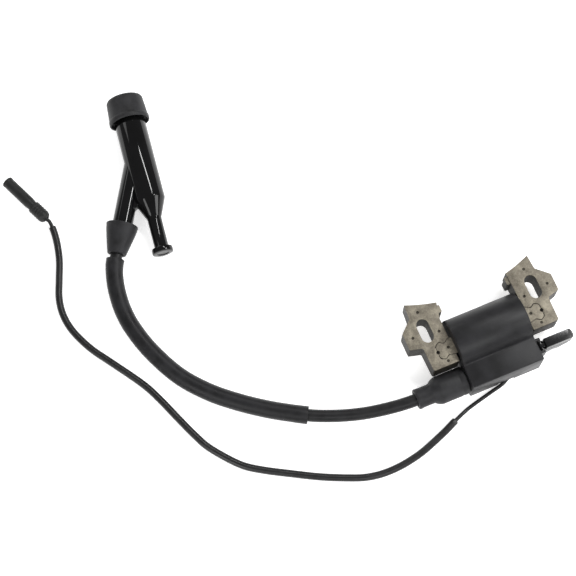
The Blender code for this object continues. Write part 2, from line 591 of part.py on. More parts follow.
def make_lead():
    points, spacing = smooth_route(LEAD_ROUTE, LEAD_STEP)
    cord("ht_lead", points, LEAD_RADIUS, RUBBER, sides=4)
    cord("ht_sleeve", part_of_route(points, spacing, LEAD_SLEEVE_SPAN), LEAD_SLEEVE_RADIUS, RUBBER, sides=4,
         wall=LEAD_SLEEVE_WALL)
    nose = COIL_BOOT_NOSE
    wide = COIL_BOOT_RADIUS
    end = COIL_BOOT_LENGTH
    profile = [(LEAD_BORE, 0), (wide - 0.6, 0), (wide, 0.6), (wide, 14.2), (wide + 0.1, 15.6), (wide - 0.5, 17.6),
               (nose + 0.9, 19.6), (nose, 20.4), (nose, end - 1.0), (nose - 0.7, end), (LEAD_BORE, end)]
    turned("coil_lead_boot", profile, (CASE_LEFT_X - GAP, LEAD_Y, LEAD_AXIS_Z), (-1, 0, 0), RUBBER,
           steps=28, closed=True)


def make_cap():
    """The plug cap and all that turns with it about the lead screw, in a frame on the arm's axis."""
    fork = math.radians(CAP_FORK)
    along_arm = Vector((math.sin(fork), math.cos(fork), 0))
    crossing = along_arm * CAP_ARM_LENGTH
    mouth = crossing + Vector((0, CAP_NOSE, 0))
    bead = MOUTH_BOOT_LENGTH - 1.6
    tilt = math.asin((MOUTH_BOOT_RADIUS + 0.05 - CAP_ANCHOR[2]) / (mouth.y - bead))
    frame = bpy.data.objects.new("cap_swivel", None)
    bpy.context.scene.collection.objects.link(frame)
    frame.location = Vector(CAP_ANCHOR) * MM
    frame.rotation_euler = (tilt, 0, math.radians(CAP_ARM_HEADING + CAP_FORK - 90))
    down = (0, -1, 0)

    nose = 3.0
    knob = STEM_END - KNOB_THICK
    barrel = [(0, nose), (BARREL_RADIUS - 0.5, nose), (BARREL_RADIUS, nose + 0.5), (BARREL_RADIUS, BARREL_SHOULDER),
              (BARREL_RADIUS - 0.5, BARREL_SHOULDER + 0.9), (STEM_RADIUS + 0.4, BARREL_NECK - 0.8),
              (STEM_RADIUS, BARREL_NECK), (STEM_RADIUS, knob), (KNOB_RADIUS - 0.4, knob),
              (KNOB_RADIUS, knob + 0.4), (KNOB_RADIUS, STEM_END - 0.4), (KNOB_RADIUS - 0.4, STEM_END), (0, STEM_END)]
    body = turned("plug_cap_body", barrel, mouth, down, PHENOLIC, steps=32, parent=frame)
    arm_start = 6.0
    arm = [(0, arm_start), (CAP_ARM_RADIUS, arm_start), (CAP_ARM_RADIUS, CAP_ARM_LENGTH - 8),
           (0, CAP_ARM_LENGTH - 8)]
    combine(body, turned("cap_arm", arm, (0, 0, 0), along_arm, steps=24, parent=frame), "UNION")
    web = [(-2, -14), (-12, -30), (-10, -35.1), (-8.2, -34.0), (-6.7, -33.5), (-5.4, -33.9), (-4.0, -36.0),
           (-2, -36)]
    web = [(crossing.x + x, crossing.y + y) for x, y in web]
    combine(body, prism("cap_web", web, -3.6, 3.6, parent=frame), "UNION")
    bore = [(0, -2), (BARREL_BORE, -2), (BARREL_BORE, BORE_DEPTH), (CLIP_BORE, BORE_DEPTH),
            (CLIP_BORE, CLIP_BORE_DEPTH), (SPRING_BORE, CLIP_BORE_DEPTH), (SPRING_BORE, RESISTOR_END),
            (0, RESISTOR_END)]
    combine(body, turned("cap_barrel_bore", bore, mouth, down, steps=24, parent=frame))
    screw_end = LEAD_IN_CAP + GAP + SCREW_LENGTH
    arm_bore = [(0, -2), (LEAD_BORE, -2), (LEAD_BORE, LEAD_IN_CAP + GAP), (SCREW_RADIUS + 0.35, LEAD_IN_CAP + GAP),
                (SCREW_RADIUS + 0.35, screw_end + 1.5), (0, screw_end + 1.5)]
    combine(body, turned("cap_arm_bore", arm_bore, (0, 0, 0), along_arm, steps=16, parent=frame))

    lip = 2.7
    wide = MOUTH_BOOT_RADIUS
    end = MOUTH_BOOT_LENGTH
    boot = [(MOUTH_OPENING, 0.2), (MOUTH_OPENING + 0.8, -0.6), (wide - 2.4, -0.6), (wide - 1.2, 0.4),
            (wide - 0.9, 1.6), (wide - 0.3, end - 3.2), (wide, end - 2.6), (wide, end - 0.6), (wide - 0.6, end),
            (BARREL_RADIUS + 0.35, end), (BARREL_RADIUS + 0.35, lip), (MOUTH_OPENING, lip)]
    turned("plug_cap_boot", boot, mouth, down, RUBBER, steps=32, closed=True, parent=frame)
    cone = [(LEAD_BORE, 0), (CONE_NARROW - 0.4, 0), (CONE_NARROW, 0.5), (CONE_WIDE - 0.4, CONE_LENGTH - 1.4),
            (CONE_WIDE, CONE_LENGTH - 0.9), (CONE_WIDE - 0.4, CONE_LENGTH), (CAP_ARM_RADIUS + GAP, CONE_LENGTH),
            (CAP_ARM_RADIUS + GAP, arm_start - GAP), (LEAD_BORE, arm_start - GAP)]
    turned("cap_lead_boot", cone, (0, 0, 0), along_arm, RUBBER, steps=28, closed=True, parent=frame)

    screw = [(0, LEAD_IN_CAP + GAP), (0.4, LEAD_IN_CAP + GAP), (SCREW_RADIUS, LEAD_IN_CAP + 4),
             (SCREW_RADIUS, screw_end), (0, screw_end)]
    turned("cap_lead_screw", screw, (0, 0, 0), along_arm, BRASS, steps=12, parent=frame)
    grip = CLIP_BORE - 0.4
    clip = [(0, CLIP_BORE_DEPTH - 0.4), (grip, CLIP_BORE_DEPTH - 0.4), (grip, BORE_DEPTH + 0.6),
            (grip - 0.8, BORE_DEPTH + 0.6), (grip - 0.8, CLIP_BORE_DEPTH - 1.4), (0, CLIP_BORE_DEPTH - 1.4)]
    turned("cap_terminal_clip", clip, mouth, down, BRASS, steps=20, parent=frame)
    resistor_start = 54.0
    resistor = [(0, resistor_start), (2.3, resistor_start), (2.7, resistor_start + 0.6), (2.7, RESISTOR_END - 1.2),
                (2.3, RESISTOR_END - 0.6), (0, RESISTOR_END - 0.6)]
    turned("cap_resistor", resistor, mouth, down, CERAMIC, steps=16, parent=frame)
    make_spring(mouth, CLIP_BORE_DEPTH, resistor_start - GAP, frame)


def make_spring(mouth, start, end, frame):
    """Contact spring between the terminal clip and the resistor: a helix of wire."""
    turns = 4
    radius = 1.9
    wire = 0.35
    count = turns * 10
    points = []
    for i in range(count + 1):
        angle = 2 * math.pi * turns * i / count
        along = start + wire + (end - start - 2 * wire) * i / count
        points.append(mouth + Vector((radius * math.cos(angle), -along, radius * math.sin(angle))))
    spring = cord("cap_contact_spring", points, wire, TIN, sides=0)
    spring.parent = frame


def make_stop_wire():
    points, spacing = smooth_route(WIRE_ROUTE, WIRE_STEP)
    cord("kill_wire", points, WIRE_RADIUS, PVC, sides=2)
    cord("kill_wire_sleeve", part_of_route(points, spacing, WIRE_SLEEVE_SPAN), WIRE_SLEEVE_RADIUS, PVC, sides=2,
         wall=WIRE_SLEEVE_WALL)
    heading = math.radians(CONNECTOR_HEADING)
    along = Vector((math.cos(heading), math.sin(heading), 0))
    start = Vector(CONNECTOR_ANCHOR)
    wire_bore = WIRE_RADIUS + 0.35
    wide = COLLAR_RADIUS
    length = COLLAR_LENGTH
    collar = [(wire_bore, 0), (wide - 1.2, 0), (wide - 0.4, 1.2), (wide, 2.4)]
    for number in range(4):
        x = 3.2 + 1.7 * number
        collar += [(wide, x), (wide - 0.3, x + 0.3), (wide - 0.3, x + 0.7), (wide, x + 1.0)]
    collar += [(wide, length - 0.6), (wide - 0.5, length), (RECEPTACLE_RADIUS + GAP, length),
               (RECEPTACLE_RADIUS + GAP, length - 3.5), (wire_bore, length - 3.5)]
    turned("connector_collar", collar, start, along, PVC, steps=20, closed=True)
    bore = RECEPTACLE_RADIUS + GAP
    far = SOCKET_LENGTH
    wide = SOCKET_RADIUS
    socket = [(bore, 0), (SOCKET_WAIST + 0.3, 0), (SOCKET_WAIST + 0.3, 0.8), (wide - 0.2, 2.0), (wide, 3.0),
              (wide, far - 1.6), (wide + 0.15, far - 1.2), (wide + 0.15, far - 0.3), (wide - 0.2, far),
              (bore, far)]
    turned("connector_socket", socket, start + along * (length + GAP), along, PVC, steps=20, closed=True)
    back = length - 3.5 + GAP
    front = length + far - 2.5
    shell = RECEPTACLE_RADIUS
    receptacle = [(0, back), (shell, back), (shell, front), (RECEPTACLE_BORE, front),
                  (RECEPTACLE_BORE, front - 14), (0, front - 14)]
    turned("bullet_receptacle", receptacle, start, along, BRASS, steps=16)


def make_clip():
    """Wire clip: a fixed lower jaw on the case and an upper jaw hinged on a pin."""
    edge = CASE_RIGHT_X
    root = edge + CLIP_PAD + GAP
    pin_x = edge + CLIP_PIN_X
    tip = edge + CLIP_REACH
    low_y, high_y = CLIP_Y - CLIP_WIDTH / 2, CLIP_Y + CLIP_WIDTH / 2
    jaw_start = pin_x + CLIP_KNUCKLE + 0.4
    jaw_end = tip - 2.3
    lower = rounded([(root, 3.5, 0.4), (root + 3.5, 3.7, 2.0), (root + 8.5, 7.6, 2.0), (root + 10.4, 5.7, 0.8),
                     (root + 13.0, 5.3, 1.0), (jaw_end - 0.6, 8.2, 1.0), (jaw_end, CLIP_SPLIT_Z, 0.3),
                     (jaw_start, CLIP_SPLIT_Z, 0.2), (jaw_start - 0.6, 10.9, 0.4), (root, 10.9, 0.3)])
    base = prism("clip_base", lower, low_y, high_y, BLACK_NYLON, axis="Y")
    cheek = [(pin_x - CLIP_KNUCKLE, 10.0), (pin_x + CLIP_KNUCKLE, 10.0)]
    cheek += arc((pin_x, CLIP_PIN_Z), CLIP_KNUCKLE, 0, 180, 10)
    filler = [(root + 0.2, 9.0), (pin_x, 9.0), (pin_x, CLIP_PIN_Z), (root + 0.2, CLIP_PIN_Z)]
    side = (CLIP_WIDTH - CLIP_TONGUE) / 2 - GAP
    for number, start in enumerate((low_y, high_y - side)):
        combine(base, prism(f"clip_cheek_{number}", cheek, start, start + side, axis="Y"), "UNION")
        combine(base, prism(f"clip_filler_{number}", filler, start, start + side, axis="Y"), "UNION")
    hole = [(0, -1), (CLIP_PIN_RADIUS + GAP, -1), (CLIP_PIN_RADIUS + GAP, CLIP_WIDTH + 1), (0, CLIP_WIDTH + 1)]
    hinge = (pin_x, low_y, CLIP_PIN_Z)
    combine(base, turned("clip_base_hole", hole, hinge, (0, 1, 0), steps=12))

    jaw_low = CLIP_SPLIT_Z + 0.4
    upper = [(jaw_start, jaw_low, 0.3), (jaw_end + GAP, jaw_low, 0.2), (jaw_end + GAP, 8.7, 0.3),
             (jaw_end + 1.1, 8.2, 0.3), (tip, 11.5, 1.0), (tip, CLIP_TOP_Z - 1.6, 0.8),
             (tip - 1.7, CLIP_TOP_Z, 1.0), (jaw_start, CLIP_TOP_Z, 0.5)]
    pivot = Vector((pin_x, CLIP_Y, CLIP_PIN_Z))
    arm_outline = [(x - pivot.x, z - pivot.z) for x, z in rounded(upper)]
    arm = prism("clip_arm", arm_outline, low_y - pivot.y, high_y - pivot.y, BLACK_NYLON, axis="Y")
    arm.location = pivot * MM
    reach = jaw_start - pin_x + 1.0
    tongue = [(0, CLIP_KNUCKLE)] + arc((0, 0), CLIP_KNUCKLE, 90, 270, 10) + [(0.4, -0.9), (reach, -0.9),
                                                                             (reach, CLIP_KNUCKLE)]
    tongue = prism("clip_tongue", tongue, -CLIP_TONGUE / 2, CLIP_TONGUE / 2, axis="Y", parent=arm)
    combine(arm, tongue, "UNION")
    hole = [(0, -4), (CLIP_PIN_RADIUS + GAP, -4), (CLIP_PIN_RADIUS + GAP, 4), (0, 4)]
    combine(arm, turned("clip_arm_hole", hole, (0, 0, 0), (0, 1, 0), steps=12, parent=arm))
    pin = [(0, 0.1), (CLIP_PIN_RADIUS, 0.1), (CLIP_PIN_RADIUS, CLIP_WIDTH - 0.1), (0, CLIP_WIDTH - 0.1)]
    turned("clip_pin", pin, hinge, (0, 1, 0), TIN, steps=12)


def main():
    for old in list(bpy.data.objects):
        bpy.data.objects.remove(old, do_unlink=True)
    make_core()
    make_case()
    make_potting()
    make_windings()
    make_electronics()
    make_lead()
    make_cap()
    make_stop_wire()
    make_clip()


main()
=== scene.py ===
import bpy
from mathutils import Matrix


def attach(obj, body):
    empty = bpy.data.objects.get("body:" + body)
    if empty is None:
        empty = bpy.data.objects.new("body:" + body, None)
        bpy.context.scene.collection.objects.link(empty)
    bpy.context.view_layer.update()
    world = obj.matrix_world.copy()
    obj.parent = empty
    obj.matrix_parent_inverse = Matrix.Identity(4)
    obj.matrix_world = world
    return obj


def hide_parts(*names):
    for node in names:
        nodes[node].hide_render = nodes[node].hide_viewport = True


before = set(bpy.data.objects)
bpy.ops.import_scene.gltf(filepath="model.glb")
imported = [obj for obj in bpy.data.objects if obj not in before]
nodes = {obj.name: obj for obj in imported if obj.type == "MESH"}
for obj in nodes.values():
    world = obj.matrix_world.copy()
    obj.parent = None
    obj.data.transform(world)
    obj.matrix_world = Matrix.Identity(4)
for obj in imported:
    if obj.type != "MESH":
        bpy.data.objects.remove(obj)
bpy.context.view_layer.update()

import math

import bpy
from mathutils import Matrix, Vector

mm = 0.001
noiseLow, noiseHigh = 0.3, 0.7  # most of a noise texture's values lie between these
weldMm = 0.001


def linear(hexColour):
    # sRGB hex to the linear colour that a shader takes
    parts = [int(hexColour[i:i + 2], 16) / 255 for i in (1, 3, 5)]
    return tuple(c / 12.92 if c <= 0.04045 else ((c + 0.055) / 1.055) ** 2.4 for c in parts) + (1.0,)


cameraSetup = {"lens": 100, "distance": 912, "azimuth": -22.9, "elevation": 72, "lookAt": (-90.28, 69.8, 0)}


def makeCamera():
    camera = bpy.data.objects.new("studioCamera", bpy.data.cameras.new("studioCamera"))
    bpy.context.scene.collection.objects.link(camera)
    turn = math.radians(cameraSetup["azimuth"])
    tilt = math.radians(cameraSetup["elevation"])
    back = Vector((math.sin(turn) * math.cos(tilt), -math.cos(turn) * math.cos(tilt), math.sin(tilt)))
    camera.data.lens = cameraSetup["lens"]
    camera.location = (Vector(cameraSetup["lookAt"]) + back * cameraSetup["distance"]) * mm
    camera.rotation_mode = "QUATERNION"
    camera.rotation_quaternion = (-back).to_track_quat("-Z", "Y")
    camera.data.clip_start = 0.01
    bpy.context.scene.camera = camera


makeCamera()


def node(tree, kind, links=(), **settings):
    # adds a node, sets its properties and sockets, and links sockets to other nodes' outputs;
    # values sets sockets by number, and stops sets a colour ramp's places and colours
    made = tree.nodes.new("ShaderNode" + kind)
    for name, value in settings.items():
        if name == "stops":
            for place, colour in value[2:]:
                made.color_ramp.elements.new(place)
            for stop, (place, colour) in zip(made.color_ramp.elements, value):
                stop.position, stop.color = place, linear(colour)
        elif name == "values":
            for socket, number in value.items():
                made.inputs[socket].default_value = number
        elif hasattr(made, name):
            setattr(made, name, value)
        else:
            made.inputs[name.replace("_", " ")].default_value = value
    for socket, source in links:
        tree.links.new(source, made.inputs[socket])
    return made


def newMaterial(name):
    made = bpy.data.materials.new(name)
    made.use_nodes = True
    tree = made.node_tree
    tree.nodes.clear()
    shader = node(tree, "BsdfPrincipled")
    node(tree, "OutputMaterial", [("Surface", shader.outputs["BSDF"])])
    return made, tree, shader


grainDepth = 0.3  # depth of a moulded grain, as a share of its width
sheenRoughness = 0.5


def mouldedMaterial(name, look):
    # a moulded or extruded polymer: a broad shade drift, a fine grain in the bump, roughness that wanders
    made, tree, shader = newMaterial(name)
    place = node(tree, "TexCoord").outputs["Object"]
    drift = node(tree, "TexNoise", [("Vector", place)], Scale=1 / (look["driftMm"] * mm), Detail=3.0,
                 Roughness=0.55).outputs["Fac"]
    colour = node(tree, "ValToRGB", [("Fac", drift)],
                  stops=[(noiseLow, look["dark"]), (noiseHigh, look["light"])])
    tree.links.new(colour.outputs["Color"], shader.inputs["Base Color"])
    shine = node(tree, "MapRange", [("Value", drift)], From_Min=noiseLow, From_Max=noiseHigh,
                 To_Min=look["roughness"] - look["roughnessDrift"],
                 To_Max=look["roughness"] + look["roughnessDrift"])
    tree.links.new(shine.outputs["Result"], shader.inputs["Roughness"])
    grain = node(tree, "TexNoise", [("Vector", place)], Scale=1 / (look["grainMm"] * mm), Detail=2.0,
                 Roughness=0.6)
    bump = node(tree, "Bump", [("Height", grain.outputs["Fac"])], Strength=look["bump"],
                Distance=look["grainMm"] * mm * grainDepth)
    tree.links.new(bump.outputs["Normal"], shader.inputs["Normal"])
    shader.inputs["IOR"].default_value = look["ior"]
    shader.inputs["Specular IOR Level"].default_value = look["specular"]
    if "coat" in look:
        shader.inputs["Coat Weight"].default_value = look["coat"]
        shader.inputs["Coat Roughness"].default_value = look["coatRoughness"]
    if "sheen" in look:
        shader.inputs["Sheen Weight"].default_value = look["sheen"]
        shader.inputs["Sheen Roughness"].default_value = sheenRoughness
    return made


# glass-filled PBT moulding: satin black with a fine eroded mould grain
caseLook = {"dark": "#19191a", "light": "#232325", "driftMm": 9, "roughness": 0.42, "roughnessDrift": 0.05,
            "grainMm": 0.35, "bump": 0.3, "ior": 1.55, "specular": 0.2}
# EPDM rubber mouldings: matte, slightly grey where the release agent stays
bootLook = {"dark": "#1c1c1d", "light": "#29292b", "driftMm": 5, "roughness": 0.5, "roughnessDrift": 0.07,
            "grainMm": 0.4, "bump": 0.3, "ior": 1.52, "specular": 0.2, "sheen": 0.03}
# EPDM lead jacket, extruded: satin with a soft sheen along its edges
leadLook = {"dark": "#161617", "light": "#202021", "driftMm": 7, "roughness": 0.42, "roughnessDrift": 0.06,
            "grainMm": 0.5, "bump": 0.2, "ior": 1.52, "specular": 0.2}
# rubber sleeving pushed over the lead: matte, ground finish
sleeveLook = {"dark": "#161617", "light": "#222224", "driftMm": 6, "roughness": 0.44, "roughnessDrift": 0.06,
              "grainMm": 0.45, "bump": 0.3, "ior": 1.52, "specular": 0.18, "sheen": 0.03}
# phenolic cap, compression moulded and polished: deep black with a hard gloss
phenolicLook = {"dark": "#0a0a0a", "light": "#0f0f10", "driftMm": 14, "roughness": 0.07,
                "roughnessDrift": 0.02, "grainMm": 1.6, "bump": 0.02, "ior": 1.42, "specular": 0.32,
                "coat": 0.08, "coatRoughness": 0.03}
# plasticised PVC sleeving, extruded: soft black with a clear streak of gloss
pvcLook = {"dark": "#151515", "light": "#1e1e1f", "driftMm": 6, "roughness": 0.33, "roughnessDrift": 0.05,
           "grainMm": 0.5, "bump": 0.12, "ior": 1.54, "specular": 0.3}
# vinyl connector insulators, dip moulded: matte with fine ripples
vinylLook = {"dark": "#161716", "light": "#222322", "driftMm": 4, "roughness": 0.48, "roughnessDrift": 0.06,
             "grainMm": 0.4, "bump": 0.3, "ior": 1.54, "specular": 0.25}
# nylon 6/6 clip, injection moulded in a polished tool
nylonLook = {"dark": "#0d0d0e", "light": "#131314", "driftMm": 6, "roughness": 0.27, "roughnessDrift": 0.04,
             "grainMm": 0.9, "bump": 0.03, "ior": 1.53, "specular": 0.4}
# epoxy potting, poured: glossy with slow ripples
epoxyLook = {"dark": "#15120f", "light": "#211c17", "driftMm": 10, "roughness": 0.2, "roughnessDrift": 0.05,
             "grainMm": 4, "bump": 0.15, "ior": 1.55, "specular": 0.5}
# natural nylon bobbins
bobbinLook = {"dark": "#b9ad92", "light": "#cfc5ab", "driftMm": 5, "roughness": 0.45, "roughnessDrift": 0.05,
              "grainMm": 0.5, "bump": 0.1, "ior": 1.53, "specular": 0.5}
# fibreglass board under green solder mask
boardLook = {"dark": "#1b5a2c", "light": "#236b37", "driftMm": 2, "roughness": 0.35, "roughnessDrift": 0.05,
             "grainMm": 0.6, "bump": 0.2, "ior": 1.5, "specular": 0.5}
# dipped film capacitor, brown epoxy coat
filmLook = {"dark": "#7a3d17", "light": "#8f4b20", "driftMm": 3, "roughness": 0.25, "roughnessDrift": 0.05,
            "grainMm": 1.2, "bump": 0.1, "ior": 1.55, "specular": 0.5}
# steatite ceramic, fired and unglazed
ceramicLook = {"dark": "#c9c0a8", "light": "#d9d2bd", "driftMm": 2, "roughness": 0.5, "roughnessDrift": 0.08,
               "grainMm": 0.3, "bump": 0.3, "ior": 1.6, "specular": 0.5}


def metalMaterial(name, look):
    # drawn or turned metal: fine marks along one axis and a slow stain
    made, tree, shader = newMaterial(name)
    place = node(tree, "TexCoord").outputs["Object"]
    stain = node(tree, "TexNoise", [("Vector", place)], Scale=1 / (look["stainMm"] * mm), Detail=4.0)
    colour = node(tree, "ValToRGB", [("Fac", stain.outputs["Fac"])],
                  stops=[(noiseLow, look["dark"]), (noiseHigh, look["light"])])
    tree.links.new(colour.outputs["Color"], shader.inputs["Base Color"])
    squeeze = node(tree, "Mapping", [("Vector", place)], Scale=look["grainAxis"])
    marks = node(tree, "TexNoise", [("Vector", squeeze.outputs["Vector"])],
                 Scale=1 / (look["grainMm"] * mm), Detail=2.0)
    bump = node(tree, "Bump", [("Height", marks.outputs["Fac"])], Strength=look["bump"],
                Distance=look["bumpMm"] * mm)
    tree.links.new(bump.outputs["Normal"], shader.inputs["Normal"])
    shader.inputs["Metallic"].default_value = 1.0
    shader.inputs["Roughness"].default_value = look["roughness"]
    return made


brassLook = {"dark": "#a8803c", "light": "#c79c52", "stainMm": 3, "grainMm": 0.3, "grainAxis": (1, 0.1, 1),
             "roughness": 0.28, "bump": 0.3, "bumpMm": 0.04}
copperLook = {"dark": "#9c4a24", "light": "#b9602f", "stainMm": 4, "grainMm": 0.3,
              "grainAxis": (1, 0.05, 0.05), "roughness": 0.3, "bump": 0.3, "bumpMm": 0.04}
tinLook = {"dark": "#8e8e8b", "light": "#b4b4b0", "stainMm": 3, "grainMm": 0.3, "grainAxis": (0.1, 1, 1),
           "roughness": 0.32, "bump": 0.3, "bumpMm": 0.04}

# electrical steel, punched and oiled: a warm grey, mottled face and dark stacked edges, whose darkness is
# partly painted shade
steelLook = {"dark": "#615c52", "mid": "#787266", "light": "#908a7b", "faceStops": (0.36, 0.5, 0.64),
             "edgeDark": "#12110d", "edgeLight": "#2e2b25", "edgeStops": (0.35, 0.7),
             "uprightBelow": 0.35, "flatAbove": 0.85, "mottleMm": 0.9, "grainMm": 0.32, "blotchMm": 6.0,
             "roughness": 0.5, "roughnessDrift": 0.1, "metallic": 0.35, "specular": 0.15,
             # the hollow values put painted shade on the dimple floors: their height, the band's reach and
             # how much darker they are
             "bump": 0.55, "bumpMm": 0.09, "hollowMm": 20.5, "hollowBandMm": 0.2, "paintedDimpleShade": 0.8}


def stampedSteel(name, look):
    made, tree, shader = newMaterial(name)
    place = node(tree, "TexCoord").outputs["Object"]
    blotch = node(tree, "TexNoise", [("Vector", place)], Scale=1 / (look["blotchMm"] * mm), Detail=2.0)
    mottle = node(tree, "TexNoise", [("Vector", place)], Scale=1 / (look["mottleMm"] * mm), Detail=5.0,
                  Roughness=0.65).outputs["Fac"]
    both = node(tree, "Math", [(0, blotch.outputs["Fac"]), (1, mottle)], operation="ADD")
    half = node(tree, "Math", [(0, both.outputs[0])], operation="MULTIPLY", values={1: 0.5})
    faceColours = (look["dark"], look["mid"], look["light"])
    face = node(tree, "ValToRGB", [("Fac", half.outputs[0])], stops=list(zip(look["faceStops"], faceColours)))
    edgeColours = (look["edgeDark"], look["edgeLight"])
    edge = node(tree, "ValToRGB", [("Fac", mottle)], stops=list(zip(look["edgeStops"], edgeColours)))
    # upright faces are the stack's cut edges, darker than the sheet's face; their near-black colour is also
    # painted shade, laid on every upright face alike
    facing = node(tree, "NewGeometry")
    split = node(tree, "SeparateXYZ", [("Vector", facing.outputs["True Normal"])])
    level = node(tree, "Math", [(0, split.outputs["Z"])], operation="ABSOLUTE")
    upness = node(tree, "MapRange", [("Value", level.outputs[0])], From_Min=look["uprightBelow"],
                  From_Max=look["flatAbove"]).outputs["Result"]
    # painted shade: the floors of the interlock dimples are darkened as if they lay in shadow
    height = node(tree, "SeparateXYZ", [("Vector", place)])
    hollow = node(tree, "Math", [(0, height.outputs["Z"])], operation="COMPARE",
                  values={1: look["hollowMm"] * mm, 2: look["hollowBandMm"] * mm})
    dimpleShadeFactor = node(tree, "MapRange", [("Value", hollow.outputs[0])], To_Min=1.0, To_Max=1 - look["paintedDimpleShade"])
    bright = node(tree, "Math", [(0, upness), (1, dimpleShadeFactor.outputs["Result"])], operation="MULTIPLY")
    # sockets 6 and 7 are the mix's two colours
    shade = node(tree, "Mix", [("Factor", bright.outputs[0])], data_type="RGBA")
    tree.links.new(edge.outputs["Color"], shade.inputs[6])
    tree.links.new(face.outputs["Color"], shade.inputs[7])
    tree.links.new(shade.outputs[2], shader.inputs["Base Color"])
    grain = node(tree, "TexNoise", [("Vector", place)], Scale=1 / (look["grainMm"] * mm), Detail=3.0)
    relief = node(tree, "Math", [(0, grain.outputs["Fac"]), (1, mottle)], operation="ADD")
    bump = node(tree, "Bump", [("Height", relief.outputs[0])], Strength=look["bump"],
                Distance=look["bumpMm"] * mm)
    tree.links.new(bump.outputs["Normal"], shader.inputs["Normal"])
    shine = node(tree, "MapRange", [("Value", mottle)], From_Min=noiseLow, From_Max=noiseHigh,
                 To_Min=look["roughness"] - look["roughnessDrift"],
                 To_Max=look["roughness"] + look["roughnessDrift"])
    tree.links.new(shine.outputs["Result"], shader.inputs["Roughness"])
    # the cut edges are oily and rough, so they hardly mirror anything
    mirrored = node(tree, "MapRange", [("Value", upness)], To_Min=0.0, To_Max=look["metallic"])
    tree.links.new(mirrored.outputs["Result"], shader.inputs["Metallic"])
    shader.inputs["Specular IOR Level"].default_value = look["specular"]
    return made


materials = {
    "case": mouldedMaterial("mouldedPbtCase", caseLook),
    "boot": mouldedMaterial("mouldedEpdmBoot", bootLook),
    "lead": mouldedMaterial("extrudedEpdmLead", leadLook),
    "sleeve": mouldedMaterial("extrudedRubberSleeve", sleeveLook),
    "phenolic": mouldedMaterial("polishedPhenolic", phenolicLook),
    "pvc": mouldedMaterial("extrudedPvcSleeve", pvcLook),
    "vinyl": mouldedMaterial("dippedVinylInsulator", vinylLook),
    "nylon": mouldedMaterial("mouldedNylonClip", nylonLook),
    "epoxy": mouldedMaterial("pouredEpoxy", epoxyLook),
    "bobbin": mouldedMaterial("naturalNylonBobbin", bobbinLook),
    "board": mouldedMaterial("solderMaskBoard", boardLook),
    "film": mouldedMaterial("dippedFilmCapacitor", filmLook),
    "ceramic": mouldedMaterial("firedSteatite", ceramicLook),
    "brass": metalMaterial("turnedBrass", brassLook),
    "copper": metalMaterial("enamelledCopperWire", copperLook),
    "tin": metalMaterial("tinnedSpringSteel", tinLook),
    "steel": stampedSteel("punchedElectricalSteel", steelLook),
}
print("materials made:", len(materials))


def pickOnly(piece):
    bpy.ops.object.select_all(action="DESELECT")
    piece.select_set(True)
    bpy.context.view_layer.objects.active = piece


def finishPiece(piece, name, material, angle=35):
    piece.name = name
    piece.data.name = name
    piece.data.materials.clear()
    piece.data.materials.append(materials[material])
    pickOnly(piece)
    bpy.ops.object.shade_smooth_by_angle(angle=math.radians(angle))


def applyModifier(piece, kind, **settings):
    step = piece.modifiers.new(kind.title(), kind)
    for key, value in settings.items():
        setattr(step, key, value)
    pickOnly(piece)
    bpy.ops.object.modifier_apply(modifier=step.name)


def bevelEdges(piece, widthMm, segments=3, angle=30):
    applyModifier(piece, "BEVEL", width=widthMm * mm, segments=segments, limit_method="ANGLE",
                  angle_limit=math.radians(angle))


flatAngle = 0.5  # degrees, under which two faces of a node become one


def copyOfNode(nodeName):
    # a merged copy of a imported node, whose faces are flat again
    piece = bpy.data.objects.new(nodeName + "Copy", nodes[nodeName].data.copy())
    bpy.context.scene.collection.objects.link(piece)
    pickOnly(piece)
    bpy.ops.mesh.customdata_custom_splitnormals_clear()
    bpy.ops.object.mode_set(mode="EDIT")
    bpy.ops.mesh.select_all(action="SELECT")
    bpy.ops.mesh.remove_doubles(threshold=2 * weldMm * mm)
    bpy.ops.mesh.dissolve_limited(angle_limit=math.radians(flatAngle))
    bpy.ops.object.mode_set(mode="OBJECT")
    return piece


def turnedPiece(profile, steps, closed=False):
    # a circle drawn up through a profile of (radius, height) in mm, as on a lathe; a closed profile is a
    # ring whose last circle is bridged to its first, an open one is a solid with a flat disc at each end
    bpy.ops.object.select_all(action="DESELECT")
    radius, height = profile[0]
    bpy.ops.mesh.primitive_circle_add(vertices=steps, radius=radius * mm, location=(0, 0, 0),
                                      fill_type="NOTHING" if closed else "NGON")
    piece = bpy.context.object
    piece.data.transform(Matrix.Translation((0, 0, height * mm)))
    bpy.ops.object.mode_set(mode="EDIT")
    bpy.ops.mesh.select_all(action="SELECT")
    for nextRadius, nextHeight in profile[1:]:
        bpy.ops.mesh.extrude_region_move(TRANSFORM_OT_translate={"value": (0, 0, (nextHeight - height) * mm)})
        grow = nextRadius / radius
        bpy.ops.transform.resize(value=(grow, grow, 1), center_override=(0, 0, nextHeight * mm))
        radius, height = nextRadius, nextHeight
    if closed:
        ends = (0, len(profile) - 1)
        bpy.ops.object.mode_set(mode="OBJECT")
        for index, vertex in enumerate(piece.data.vertices):
            vertex.select = index // steps in ends
        for edge in piece.data.edges:
            a, b = (index // steps for index in edge.vertices)
            edge.select = a == b and a in ends
        bpy.ops.object.mode_set(mode="EDIT")
        bpy.ops.mesh.bridge_edge_loops()
    bpy.ops.mesh.select_all(action="SELECT")
    bpy.ops.mesh.remove_doubles(threshold=weldMm * mm)
    bpy.ops.mesh.normals_make_consistent(inside=False)
    bpy.ops.object.mode_set(mode="OBJECT")
    return piece


def placeAlong(piece, origin, direction):
    # the piece's Z is laid along a direction, from an origin in metres, and its place goes into its mesh
    turn = Vector(direction).to_track_quat("Z", "Y").to_matrix().to_4x4()
    piece.data.transform(Matrix.Translation(Vector(origin)) @ turn)
    piece.matrix_world = Matrix.Identity(4)


curveSteps = 24  # points worked out between two of a route's own points


